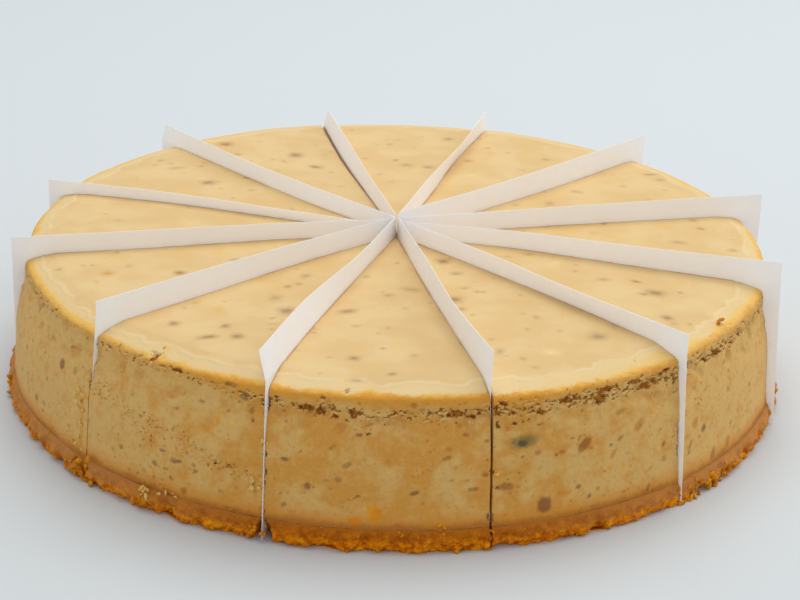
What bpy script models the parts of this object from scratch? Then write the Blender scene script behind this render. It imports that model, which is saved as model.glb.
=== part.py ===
"""A baked cheesecake on a crumb base, cut into twelve slices, with a sheet of paper in each cut.

Sizes are in millimetres and become metres where a mesh is made. The cake stands on z = 0 with its
axis on the origin. The cuts meet a little in front of the axis, and every piece's own origin is
there, so that its points are worked out from the tip of the slices.
"""

import math
from collections import namedtuple

import bmesh
import bpy
from mathutils import Vector, noise

MM = 0.001

# The whole cake
SLICES = 12
SLICE_ANGLE = math.radians(360 / SLICES)
FIRST_CUT = math.radians(13.1)
CUT_CENTRE = Vector((0.0, -3.2))
TOP_HEIGHT = 47.0
BASE_RADIUS = 127.4
BASE_HEIGHT = 6.8

# What is left free: between the two layers, and on each side of the middle of a cut
LAYER_GAP = 0.3
HALF_CUT = 0.55

# Edges that turn by more than this stay sharp
SHARP = math.radians(35)

# The paper sheets
PAPER_THICKNESS = 0.3
PAPER_FOOT = 0.4
PAPER_START = 1.5
PAPER_BEND = 47.7
PAPER_CORNER = 2.0
PAPER_MIDDLE = 0.45

# Distances from the tip at which the faces of a cut have their points
TIP = 3.0
STATIONS = (98.0, 85.0, 70.0, 55.0, 41.0, 28.0, 16.0, 8.0, TIP)
OUTER_STATIONS = (118.0, 109.0)
BOW_STEP = 40.0
SLIT_FULL = 80.0

# One row for each cut, counted anticlockwise from the right. bow is how far the cut strays
# anticlockwise of a straight line at 1, 2 and 3 times BOW_STEP from the tip, and lean how much
# further the paper's upper edge strays there. slack is the open slit beside the cut. reach and
# foot are the paper's outer end at its top and its foot, and inner_top and outer_top the heights
# of its upper corners.
Cut = namedtuple("Cut", "bow lean slack reach foot inner_top outer_top")
CUTS = (
    Cut((0.0, 0.0, -0.5), (0.0, 0.3, 0.5), 0.0, 128.5, 128.0, 53.0, 54.2),
    Cut((-1.0, -0.5, 2.0), (0.0, 0.4, 0.0), 0.0, 128.5, 127.0, 54.6, 55.5),
    Cut((0.6, 2.6, 2.0), (0.2, -2.4, 0.0), 0.0, 122.0, 122.0, 53.5, 54.2),
    Cut((1.1, 2.1, 1.6), (-0.6, -1.8, -1.4), 1.0, 121.5, 121.5, 53.5, 53.6),
    Cut((2.4, 2.0, 1.0), (-0.8, -0.2, -1.6), 0.0, 130.0, 128.0, 53.0, 52.8),
    Cut((-1.2, -1.8, 1.2), (1.0, 0.5, 0.0), 0.0, 126.0, 126.0, 50.2, 51.2),
    Cut((-2.0, -1.1, -1.6), (0.5, 0.0, 0.6), 0.0, 124.0, 125.0, 52.6, 53.3),
    Cut((-0.9, 0.5, 1.4), (0.3, -0.6, -0.4), 0.0, 118.0, 124.5, 53.6, 55.4),
    Cut((-0.4, -0.5, 0.5), (0.4, -2.2, -2.2), 0.0, 119.5, 124.5, 53.8, 56.0),
    Cut((-0.7, -0.6, -0.1), (0.6, -0.6, 0.8), 0.3, 116.5, 123.0, 53.8, 57.2),
    Cut((0.8, 0.8, -1.0), (-0.4, -2.0, 0.4), 0.0, 122.5, 126.0, 53.0, 53.2),
    Cut((1.9, 0.5, -0.8), (0.0, -0.5, 0.6), 0.0, 125.0, 128.0, 52.0, 54.9),
)
# How far the top of each slice's side stands out, from the slice after the first cut on
SWELL = (0.5, 0.8, -0.3, 1.2, 0.3, -0.8, -0.8, -0.3, 0.0, 1.4, 0.0, -0.8)

# The filling's side and rim from the bottom up, as radius about the cake's axis, height, and
# share of the rim's tilt, which raises it at the back and lowers it at the front
FILLING_COLUMNS = 18
FILLING_RIM = (
    (126.0, BASE_HEIGHT + LAYER_GAP, 0.0),
    (125.7, 13.5, 0.0),
    (125.2, 20.0, 0.0),
    (124.5, 27.0, 0.0),
    (123.6, 32.0, 0.0),
    (122.8, 35.5, 0.1),
    (122.1, 38.5, 0.3),
    (121.6, 41.5, 0.6),
    (121.3, 43.9, 1.0),
    (120.2, 45.4, 1.0),
    (116.0, 46.4, 0.6),
    (111.5, 47.0, 0.0),
)
RIM_TILT = 0.8
# The swell grows from nothing to all of it between these heights and these radii
SWELL_HEIGHTS = (25.0, 43.0)
SWELL_RADII = (100.0, 120.0)
# Points across the slice on the top, at each station
TOP_COLUMNS = (9, 9, 9, 6, 6, 3, 3, 2, 1)
TOP_UNEVENNESS = 0.3
TOP_WAVE = 30.0
SIDE_UNEVENNESS = 0.5
SIDE_WAVE = 22.0

# The line of crumbly pits under the rim. A layer is a shift that gives each relief its own noise,
# and the noise counts only above the stated rarity.
PIT_HEIGHT = 38.0
PIT_BAND = 4.5
PIT_SPACING = 4.0
PIT_DEPTH = 3.2
PIT_RARITY = 0.08
PIT_LAYER = 40.0

# The crumb base's side from the bottom up, as distance out of BASE_RADIUS and height
CRUST_COLUMNS = 20
CRUST_RIM = ((-0.9, 0.0), (0.0, 1.4), (0.2, 3.8), (-0.1, 5.3), (-1.0, BASE_HEIGHT))
CRUMB_SIZE = 3.4
CRUMB_RELIEF = 1.5
CRUMB_MOST = 1.1
CRUMB_LAYER = 80.0
NOTCH_SPACING = 17.0
NOTCH_DEPTH = 6.0
NOTCH_HEIGHT = 4.8
NOTCH_RARITY = 0.18
NOTCH_LAYER = 120.0

FILLING = ("filling", (0.62, 0.42, 0.18), 0.5)
CRUST = ("crumb_base", (0.33, 0.12, 0.015), 0.85)
PAPER = ("paper", (0.86, 0.80, 0.76), 0.6)


def material(name, colour, roughness):
    made = bpy.data.materials.new(name)
    made.use_nodes = True
    shader = made.node_tree.nodes["Principled BSDF"]
    shader.inputs["Base Color"].default_value = (*colour, 1.0)
    shader.inputs["Roughness"].default_value = roughness
    made.diffuse_color = (*colour, 1.0)
    return made


def polar(angle):
    return Vector((math.cos(angle), math.sin(angle)))


def cut_angle(number):
    return FIRST_CUT + number * SLICE_ANGLE


def along(values, distance):
    """A smooth curve that leaves the tip straight and goes through the three values."""
    knots = (0.0, *values)
    slopes = (0.0, (knots[2] - knots[0]) / 2, (knots[3] - knots[1]) / 2, knots[3] - knots[2])
    steps = distance / BOW_STEP
    if steps >= 3:
        return knots[3] + (steps - 3) * slopes[3]
    start = int(steps)
    t = steps - start
    return (
        (2 * t**3 - 3 * t**2 + 1) * knots[start]
        + (t**3 - 2 * t**2 + t) * slopes[start]
        + (3 * t**2 - 2 * t**3) * knots[start + 1]
        + (t**3 - t**2) * slopes[start + 1]
    )


def slit(cut, distance):
    """How far the slice after this cut stands away from it."""
    t = min(distance / SLIT_FULL, 1.0)
    return HALF_CUT + cut.slack * t * t * (3 - 2 * t)


def cut_point(number, distance, side=0):
    """A point on a cut, in plan from the tip: side 1 is the slice after it, -1 the one before."""
    cut = CUTS[number % SLICES]
    angle = cut_angle(number)
    away = along(cut.bow, distance)
    if side > 0:
        away += slit(cut, distance)
    if side < 0:
        away -= HALF_CUT
    return polar(angle) * distance + polar(angle + math.pi / 2) * away


def rim_point(number, radius, side):
    """Where a cut's face meets the circle of this radius about the cake's axis."""
    distance = radius
    for _ in range(8):
        point = cut_point(number, distance, side)
        distance += radius - (point + CUT_CENTRE).length
    return cut_point(number, distance, side)


def rim_angle(number, radius, side):
    point = rim_point(number, radius, side) + CUT_CENTRE
    turns = (math.atan2(point.y, point.x) - cut_angle(number)) / math.tau
    return cut_angle(number) + (turns - round(turns)) * math.tau


def rough(angle, height, size, layer=0.0):
    """Noise of about this size in millimetres on the cake's side, from -1 to 1."""
    place = polar(angle) * BASE_RADIUS / size
    return noise.noise(Vector((place.x, place.y, height / size + layer)))


def filling_relief(angle, height):
    gentle = SIDE_UNEVENNESS * rough(angle, height, SIDE_WAVE)
    band = math.exp(-(((height - PIT_HEIGHT) / PIT_BAND) ** 2))
    pit = max(0.0, rough(angle, height, PIT_SPACING, PIT_LAYER) - PIT_RARITY)
    return gentle - PIT_DEPTH * band * pit


def crust_relief(angle, height):
    crumbs = CRUMB_RELIEF * rough(angle, height, CRUMB_SIZE, CRUMB_LAYER)
    low = max(0.0, 1.0 - height / NOTCH_HEIGHT)
    notch = max(0.0, rough(angle, 0.0, NOTCH_SPACING, NOTCH_LAYER) - NOTCH_RARITY)
    return min(crumbs, CRUMB_MOST) - NOTCH_DEPTH * notch * low


def top_height(point):
    wave = noise.noise(Vector((point.x, point.y, 0.0)) / TOP_WAVE)
    return TOP_HEIGHT + TOP_UNEVENNESS * wave


def swelling(number, radius, height):
    """How much of a slice's swell a row of its side or rim has."""
    share = SWELL[number]
    for value, (start, end) in ((height, SWELL_HEIGHTS), (radius, SWELL_RADII)):
        share *= min(max((value - start) / (end - start), 0.0), 1.0)
    return share


def wall_row(mesh, number, radius, height, columns, relief, tilt=0.0):
    """A row of points round a slice's side, from its first cut to its second."""
    start = rim_angle(number, radius, 1)
    end = rim_angle(number + 1, radius, -1)
    row = []
    for column in range(columns + 1):
        angle = start + (end - start) * column / columns
        reached = radius + relief(angle, height)
        if column == 0:
            point = rim_point(number, reached, 1)
        elif column == columns:
            point = rim_point(number + 1, reached, -1)
        else:
            point = polar(angle) * reached - CUT_CENTRE
        row.append(mesh.verts.new((point.x, point.y, height + tilt * math.sin(angle))))
    return row


def top_row(mesh, number, distance, columns):
    """A row of points across a slice's top, on a circle round the tip."""
    first = cut_point(number, distance, 1)
    last = cut_point(number + 1, distance, -1)
    start = math.atan2(first.y, first.x)
    turn = (math.atan2(last.y, last.x) - start) % math.tau
    row = []
    for column in range(columns + 1):
        part = column / columns
        reach = first.length * (1 - part) + last.length * part
        point = polar(start + turn * part) * reach
        row.append(mesh.verts.new((point.x, point.y, top_height(point + CUT_CENTRE))))
    return row


def cut_row(mesh, number, side, height):
    """The points of a cut's face at one height, from the outermost station to the tip."""
    row = []
    for distance in STATIONS:
        point = cut_point(number, distance, side)
        row.append(mesh.verts.new((point.x, point.y, height)))
    return row


def bridge(mesh, first, second):
    """Fills the strip between two rows that run the same way, whatever their numbers of points."""
    i = j = 0
    while i < len(first) - 1 or j < len(second) - 1:
        ahead = (i + 1) * (len(second) - 1) - (j + 1) * (len(first) - 1)
        if i == len(first) - 1 or (ahead > 0 and j < len(second) - 1):
            mesh.faces.new((first[i], second[j + 1], second[j]))
            j += 1
        elif j == len(second) - 1 or ahead < 0:
            mesh.faces.new((first[i], first[i + 1], second[j]))
            i += 1
        else:
            mesh.faces.new((first[i], first[i + 1], second[j + 1], second[j]))
            i, j = i + 1, j + 1


def fan(mesh, centre, row):
    for one, two in zip(row, row[1:]):
        mesh.faces.new((centre, one, two))


def level_face(mesh, outer, first, second):
    """A slice's flat face: from the row at its rim inwards, strip by strip from cut to cut."""
    ends = list(zip(first, second))
    for row, following in zip([outer, *ends], ends):
        bridge(mesh, row, following)


def finish(mesh, name, look, parent):
    """Makes one object of the points, which are in millimetres from the tip of the slices."""
    bmesh.ops.triangulate(mesh, faces=mesh.faces[:])
    bmesh.ops.recalc_face_normals(mesh, faces=mesh.faces[:])
    bmesh.ops.scale(mesh, vec=Vector((MM, MM, MM)), verts=mesh.verts[:])
    data = bpy.data.meshes.new(name)
    mesh.to_mesh(data)
    mesh.free()
    data.materials.append(look)
    data.shade_smooth()
    data.set_sharp_from_angle(angle=SHARP)
    made = bpy.data.objects.new(name, data)
    made.location = (CUT_CENTRE.x * MM, CUT_CENTRE.y * MM, 0.0)
    made.parent = parent
    bpy.context.scene.collection.objects.link(made)
    return made


def filling(number, look, parent):
    """The baked filling of one slice, from the crumb base to the top."""
    mesh = bmesh.new()
    rows = [
        wall_row(mesh, number, radius + swelling(number, radius, height), height,
                 FILLING_COLUMNS, filling_relief, share * RIM_TILT)
        for radius, height, share in FILLING_RIM
    ]
    inner = [
        top_row(mesh, number, distance, columns)
        for distance, columns in zip(STATIONS, TOP_COLUMNS)
    ]
    for lower, upper in zip(rows + inner, (rows + inner)[1:]):
        bridge(mesh, lower, upper)
    under = BASE_HEIGHT + LAYER_GAP
    first = cut_row(mesh, number, 1, under)
    second = cut_row(mesh, number + 1, -1, under)
    for low, end in ((first, 0), (second, -1)):
        fan(mesh, low[0], [row[end] for row in rows] + [inner[0][end]])
        bridge(mesh, low, [row[end] for row in inner])
    mesh.faces.new((first[-1], second[-1], inner[-1][1], inner[-1][0]))
    level_face(mesh, rows[0], first, second)
    return finish(mesh, f"filling_{number + 1:02d}", look, parent)


def crust(number, look, parent):
    """The pressed crumb base under one slice."""
    mesh = bmesh.new()
    rows = [
        wall_row(mesh, number, BASE_RADIUS + out, height, CRUST_COLUMNS, crust_relief)
        for out, height in CRUST_RIM
    ]
    for lower, upper in zip(rows, rows[1:]):
        bridge(mesh, lower, upper)
    edges = {}
    for end, cut, side in ((0, number, 1), (-1, number + 1, -1)):
        low = cut_row(mesh, cut, side, 0.0)
        high = cut_row(mesh, cut, side, BASE_HEIGHT)
        fan(mesh, low[0], [row[end] for row in rows] + [high[0]])
        bridge(mesh, low, high)
        edges[end] = (low, high)
    (low_first, high_first), (low_second, high_second) = edges[0], edges[-1]
    mesh.faces.new((low_first[-1], low_second[-1], high_second[-1], high_first[-1]))
    level_face(mesh, rows[0], low_first, low_second)
    level_face(mesh, rows[-1], high_first, high_second)
    return finish(mesh, f"crust_{number + 1:02d}", look, parent)


def paper(number, look, parent):
    """The sheet that stands in one cut: flat against the slices, and free above them."""
    cut = CUTS[number]
    shortest = min(cut.reach, cut.foot) - PAPER_CORNER
    inside = [distance for distance in OUTER_STATIONS + STATIONS[:-1] if distance < shortest]
    aside = polar(cut_angle(number) + math.pi / 2)
    mesh = bmesh.new()
    rows = []
    for start, free in ((PAPER_FOOT, 0.0), (PAPER_BEND, 0.0), (PAPER_BEND, PAPER_MIDDLE), (PAPER_BEND, 1.0)):
        raised = start + (cut.outer_top - start) * free
        outer = cut.foot + (cut.reach - cut.foot) * raised / cut.outer_top
        row = []
        for distance in (outer, *inside, PAPER_START):
            top = cut.inner_top + (cut.outer_top - cut.inner_top) * distance / cut.reach
            height = start + (top - start) * free
            point = cut_point(number, distance) + aside * along(cut.lean, distance) * free
            row.append(mesh.verts.new((point.x, point.y, height)))
        rows.append(row)
    for lower, upper in zip(rows, rows[1:]):
        bridge(mesh, lower, upper)
    made = finish(mesh, f"paper_{number + 1:02d}", look, parent)
    wall = made.modifiers.new("thickness", "SOLIDIFY")
    wall.thickness = PAPER_THICKNESS * MM
    wall.offset = 0.0
    return made


def build():
    for old in list(bpy.data.objects):
        bpy.data.objects.remove(old)
    cake = bpy.data.objects.new("cake", None)
    bpy.context.scene.collection.objects.link(cake)
    looks = {shape: material(*look) for shape, look in
             ((filling, FILLING), (crust, CRUST), (paper, PAPER))}
    for number in range(SLICES):
        for shape, look in looks.items():
            shape(number, look, cake)


build()
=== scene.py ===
"""A baked cheesecake cut into twelve slices, each cut holding a sheet of baking paper.

Lengths are in millimetres and become metres where a mesh is made. The cake stands on z = 0 with its
axis on the origin, seen a little from above in soft, pale light.
"""

import math
from collections import namedtuple

import bmesh
import bpy
import numpy as np
from mathutils import Matrix, Vector, noise


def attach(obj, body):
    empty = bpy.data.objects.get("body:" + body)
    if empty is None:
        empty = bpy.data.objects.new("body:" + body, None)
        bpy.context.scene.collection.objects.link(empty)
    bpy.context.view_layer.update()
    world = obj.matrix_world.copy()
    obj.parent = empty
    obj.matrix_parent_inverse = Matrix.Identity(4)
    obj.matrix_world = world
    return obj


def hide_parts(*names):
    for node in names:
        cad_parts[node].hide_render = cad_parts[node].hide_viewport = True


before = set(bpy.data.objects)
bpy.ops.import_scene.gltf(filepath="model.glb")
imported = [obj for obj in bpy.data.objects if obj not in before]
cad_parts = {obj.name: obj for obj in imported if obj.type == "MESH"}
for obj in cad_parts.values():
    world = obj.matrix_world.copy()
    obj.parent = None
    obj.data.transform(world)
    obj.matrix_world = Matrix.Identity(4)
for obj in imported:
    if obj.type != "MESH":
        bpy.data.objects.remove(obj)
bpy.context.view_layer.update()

MM = 0.001

# The whole cake
SLICES = 12
SLICE_ANGLE = math.radians(360 / SLICES)
FIRST_CUT = math.radians(13.1)
CUT_CENTRE = np.array((0.0, -3.2))
BASE_RADIUS = 127.4
BASE_HEIGHT = 6.8
LAYER_GAP = 0.05
HALF_CUT = 0.2
GAP_CLOSING = 0.75
TIP = 2.2
BOW_STEP = 40.0
SLIT_FULL = 80.0

# One row for each cut, counted anticlockwise from the right. bow is how far the cut strays
# anticlockwise of a straight line at 1, 2 and 3 times BOW_STEP from the tip, and lean how much
# further the paper's upper edge strays there. slack is the open slit beside the cut. reach and
# foot are the paper's outer end at its top and its foot, and inner_top and outer_top the heights
# of its upper corners.
Cut = namedtuple("Cut", "bow lean slack reach foot inner_top outer_top")
CUTS = (
    Cut((0.0, 0.0, -0.5), (0.0, 0.3, 0.5), 0.0, 128.5, 128.0, 53.0, 54.2),
    Cut((-1.0, -0.5, 2.0), (0.0, 0.4, 0.0), 0.0, 128.5, 127.0, 54.6, 55.5),
    Cut((0.6, 2.6, 2.0), (0.2, -2.4, 0.0), 0.0, 122.0, 122.0, 53.5, 54.2),
    Cut((1.1, 2.1, 1.6), (-0.6, -1.8, -1.4), 1.0, 121.5, 121.5, 53.5, 53.6),
    Cut((2.4, 2.0, 1.0), (-0.8, -0.2, -1.6), 0.0, 130.0, 128.0, 53.0, 52.8),
    Cut((-1.2, -1.8, 1.2), (1.0, 0.5, 0.0), 0.0, 126.0, 126.0, 50.2, 51.2),
    Cut((-2.0, -1.1, -1.6), (0.5, 0.0, 0.6), 0.0, 124.0, 125.0, 52.6, 53.3),
    Cut((-0.9, 0.5, 1.4), (0.3, -0.6, -0.4), 0.0, 118.0, 124.5, 53.6, 55.4),
    Cut((-0.4, -0.5, 0.5), (0.4, -2.2, -2.2), 0.0, 119.5, 124.5, 53.8, 56.0),
    Cut((-0.7, -0.6, -0.1), (0.6, -0.6, 0.8), 0.3, 116.5, 123.0, 53.8, 57.2),
    Cut((0.8, 0.8, -1.0), (-0.4, -2.0, 0.4), 0.0, 122.5, 126.0, 53.0, 53.2),
    Cut((1.9, 0.5, -0.8), (0.0, -0.5, 0.6), 0.0, 125.0, 128.0, 52.0, 54.9),
)
# How far the top of each slice's side stands out, from the slice after the first cut on
SWELL = (0.5, 0.8, -0.3, 1.2, 0.3, -0.8, -0.8, -0.3, 0.0, 1.4, 0.0, -0.8)
# The crumbly band under each slice's rim, as the height of its middle, its spread and its strength
BANDS = (
    (41.0, 3.0, 0.55), (41.5, 2.6, 0.65), (40.5, 3.0, 0.5), (41.5, 2.6, 0.6), (40.5, 3.0, 0.7),
    (42.0, 2.4, 0.6), (43.2, 2.0, 0.75), (43.0, 2.0, 0.75), (39.6, 3.2, 0.8), (41.2, 3.2, 1.0),
    (41.2, 3.1, 1.0), (41.5, 2.8, 0.7),
)

# The filling's side and rim from the bottom up, as radius about the cake's axis, height, and
# share of the rim's tilt, which raises it at the back and lowers it at the front
FILLING_RIM = (
    (126.3, BASE_HEIGHT + LAYER_GAP, 0.0),
    (125.7, 13.5, 0.0),
    (125.2, 20.0, 0.0),
    (124.5, 27.0, 0.0),
    (123.6, 32.0, 0.0),
    (122.8, 35.5, 0.1),
    (122.1, 38.5, 0.3),
    (121.6, 41.5, 0.6),
    (121.3, 43.9, 1.0),
    (120.2, 45.4, 1.0),
    (116.0, 46.4, 0.6),
    (111.5, 47.0, 0.0),
)
RIM_TILT = 0.8
SWELL_HEIGHTS = (25.0, 43.0)
SWELL_RADII = (100.0, 120.0)
TOP_HEIGHT = 47.0

# Spacing of the points on the side, on the top and on the cut faces, and the angle past which an
# edge stays crisp. CUT_STRIPS are the rows just behind the side: the share of the way that is left
# to the first station, and the step from one kept point to the next. CUT_SHELF is how far under
# the top the rows of the cut faces end.
SIDE_STEP = 0.42
SIDE_COLUMNS = 156
TOP_STEP = 0.8
TOP_COLUMN = 0.75
CUT_STATION = 4.0
CUT_RISES = 9
CUT_STRIPS = ((0.85, 1), (0.6, 2), (0.3, 4))
CUT_SHELF = 1.4
CRISP_ANGLE = math.radians(55)

# How the skin's mark goes: INNER on the cut faces, 0 on the side and 1 on the top, the heights
# between which it rises, and the marks from which a point belongs to the side and to the top
INNER = -1.0
SKIN_STARTS, SKIN_FULL = 45.3, 46.1
SIDE_MARK, TOP_MARK = -0.5, 0.6

# Broad relief of the side and of the pits under the rim, the same as in the plain solids
SIDE_UNEVENNESS = 0.5
SIDE_WAVE = 22.0
PIT_HEIGHT = 38.0
PIT_BAND = 4.5
PIT_SPACING = 4.0
PIT_DEPTH = 3.2
PIT_RARITY = 0.08
PIT_LAYER = 40.0

# The crumb base's side, as distance out of BASE_RADIUS and height, and its relief
CRUST_RIM = ((-0.9, 0.0), (0.0, 1.4), (0.2, 3.8), (-0.1, 5.3), (-1.0, BASE_HEIGHT))
CRUST_COLUMNS = 190
CRUST_ROWS = 24
CRUST_DEPTH = 9.0
CRUST_FADING = 3.0
CRUMB_SIZE = 3.4
CRUMB_RELIEF = 1.5
CRUMB_MOST = 1.1
CRUMB_LAYER = 80.0
NOTCH_SPACING = 17.0
NOTCH_DEPTH = 6.0
NOTCH_HEIGHT = 4.8
NOTCH_RARITY = 0.18
NOTCH_LAYER = 120.0
# Where a corner or a scallop of the base has broken away: azimuth in degrees, half its width at
# the foot, its depth and how softly it ends
BROKEN_CORNERS = (
    (253.9, 3.0, 7.0, 0.4), (239.8, 2.2, 1.8, 0.8), (297.4, 3.2, 1.3, 1.6), (270.5, 3.0, 0.8, 1.2),
    (285.5, 2.0, 1.0, 1.2), (262.0, 2.5, 0.9, 1.4),
)

# The camera: where it stands, how it is turned, and its lens
EYE = Vector((-0.554, -558.248, 258.314))
YAW, PITCH, ROLL = (math.radians(angle) for angle in (0.239, 22.916, 1.499))
LENS = 81.0


# Plan of the cuts

def polar(angle):
    return np.stack((np.cos(angle), np.sin(angle)), axis=-1)


def ramp(value, low, high):
    """Goes smoothly from 0 to 1 while the value goes from low to high."""
    t = np.clip((value - low) / (high - low), 0.0, 1.0)
    return t * t * (3 - 2 * t)


def cut_angle(number):
    return FIRST_CUT + number * SLICE_ANGLE


def along(values, distance):
    """A smooth curve that leaves the tip straight and goes through the three values."""
    knots = np.array((0.0, *values))
    slopes = np.array((0.0, (knots[2] - knots[0]) / 2, (knots[3] - knots[1]) / 2, knots[3] - knots[2]))
    steps = np.asarray(distance, float) / BOW_STEP
    start = np.clip(steps.astype(int), 0, 2)
    t = np.minimum(steps - start, 1.0)
    curve = (
        (2 * t**3 - 3 * t**2 + 1) * knots[start]
        + (t**3 - 2 * t**2 + t) * slopes[start]
        + (3 * t**2 - 2 * t**3) * knots[start + 1]
        + (t**3 - t**2) * slopes[start + 1]
    )
    return curve + np.maximum(steps - 3, 0.0) * slopes[3]


def half_gap(cut, distance):
    """Half the gap at a cut, which closes beyond the paper's edge."""
    end = max(cut.reach, cut.foot)
    return HALF_CUT * (1 - GAP_CLOSING * ramp(distance, end + 1.0, end + 3.5))


def cut_point(number, distance, side=0):
    """A point on a cut, in plan: side 1 is the slice after it, -1 the one before."""
    cut = CUTS[number % SLICES]
    distance = np.asarray(distance, float)
    angle = cut_angle(number)
    painted_sheen_side = along(cut.bow, distance)
    if side > 0:
        t = np.minimum(distance / SLIT_FULL, 1.0)
        painted_sheen_side = painted_sheen_side + half_gap(cut, distance) + cut.slack * t * t * (3 - 2 * t)
    if side < 0:
        painted_sheen_side = painted_sheen_side - half_gap(cut, distance)
    out = distance[..., None] * polar(angle)
    return CUT_CENTRE + out + painted_sheen_side[..., None] * polar(angle + math.pi / 2)


def rim_distance(number, radius, side):
    """How far from the tip a cut's face meets the circle of this radius about the cake's axis."""
    radius = np.asarray(radius, float)
    distance = radius.copy()
    for _ in range(8):
        distance = distance + radius - np.linalg.norm(cut_point(number, distance, side), axis=-1)
    return distance


def turned(points, near):
    """The angle of each point about the axis, within half a turn of the angle near."""
    turns = (np.arctan2(points[..., 1], points[..., 0]) - near) / math.tau
    return near + (turns - np.round(turns)) * math.tau


# Meshes

def put(name, data):
    """Makes an object of this data, at the origin."""
    made = bpy.data.objects.new(name, data)
    bpy.context.scene.collection.objects.link(made)
    return made


class Shell:
    """Gathers the points and faces of one closed piece, row by row."""

    def __init__(self):
        self.points = []
        self.skin = []
        self.faces = []
        self.count = 0

    def row(self, plan, height, skin=0.0):
        """Adds a row of points and returns their numbers."""
        height = np.broadcast_to(height, plan.shape[:-1])
        points = np.column_stack((plan, height))
        self.points.append(points)
        self.skin.append(np.full(len(points), skin) if np.isscalar(skin) else skin)
        numbers = list(range(self.count, self.count + len(points)))
        self.count += len(points)
        return numbers

    def face(self, *corners):
        """Adds a face, leaving out a corner that comes twice and a face that has no area."""
        kept = [c for k, c in enumerate(corners) if c != corners[k - 1]]
        if len(kept) > 2:
            self.faces.append(kept)

    def bridge(self, first, second):
        """Fills the strip between two rows that run the same way, whatever their lengths."""
        i = j = 0
        last_i, last_j = len(first) - 1, len(second) - 1
        while i < last_i or j < last_j:
            ahead = (i + 1) * last_j - (j + 1) * last_i
            if i == last_i or (ahead > 0 and j < last_j):
                self.face(first[i], second[j + 1], second[j])
                j += 1
            elif j == last_j or ahead < 0:
                self.face(first[i], first[i + 1], second[j])
                i += 1
            else:
                self.face(first[i], first[i + 1], second[j + 1], second[j])
                i, j = i + 1, j + 1

    def level_face(self, outer, first, second):
        """A flat face, from the row at its rim inwards, strip by strip from cut to cut."""
        ends = [list(pair) for pair in zip(first, second)]
        for row, following in zip([outer, *ends], ends):
            self.bridge(row, following)

    def make(self, name, flat=False):
        """Makes the object, at the origin, with its faces pointing out and its edges crisp."""
        points = np.concatenate(self.points)
        data = bpy.data.meshes.new(name)
        data.from_pydata((points * MM).tolist(), [], self.faces)
        work = bmesh.new()
        work.from_mesh(data)
        bmesh.ops.recalc_face_normals(work, faces=work.faces[:])
        work.to_mesh(data)
        work.free()
        if not flat:
            data.shade_smooth()
            data.set_sharp_from_angle(angle=CRISP_ANGLE)
        return put(name, data)


def mark(made, name, values):
    """Stores one number for each point of the mesh."""
    kept = made.data.attributes.new(name, "FLOAT", "POINT")
    kept.data.foreach_set("value", np.asarray(values, np.float32))


def mark_colour(made, name, values):
    kept = made.data.attributes.new(name, "FLOAT_COLOR", "POINT")
    kept.data.foreach_set("color", np.asarray(values, np.float32).ravel())


# Marks that the relief and the materials read

# What a fleck's colour does to the filling's, as a factor for red, green and blue
SIDE_TINTS = {
    "purple": (0.46, 0.38, 0.48), "brown": (0.62, 0.52, 0.46), "blue": (0.17, 0.26, 0.90),
    "slate": (0.44, 0.42, 0.52), "green": (0.62, 0.62, 0.50), "grey": (0.70, 0.69, 0.66),
    "red": (0.86, 0.64, 0.46), "orange": (1.12, 0.84, 0.08), "yellow": (1.25, 1.10, 0.10),
    "blush": (0.98, 0.80, 0.60), "teal": (0.34, 0.50, 0.64), "rust": (0.56, 0.44, 0.40),
    "ochre": (0.92, 0.76, 0.50),
}
TOP_TINTS = {
    "purple": (0.54, 0.43, 0.44), "brown": (0.50, 0.36, 0.27), "slate": (0.56, 0.58, 0.64),
    "green": (0.74, 0.74, 0.58), "grey": (0.72, 0.66, 0.62), "orange": (0.84, 0.64, 0.30),
    "yellow": (0.98, 0.88, 0.55), "pale": (1.10, 1.16, 1.12),
}
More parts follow.
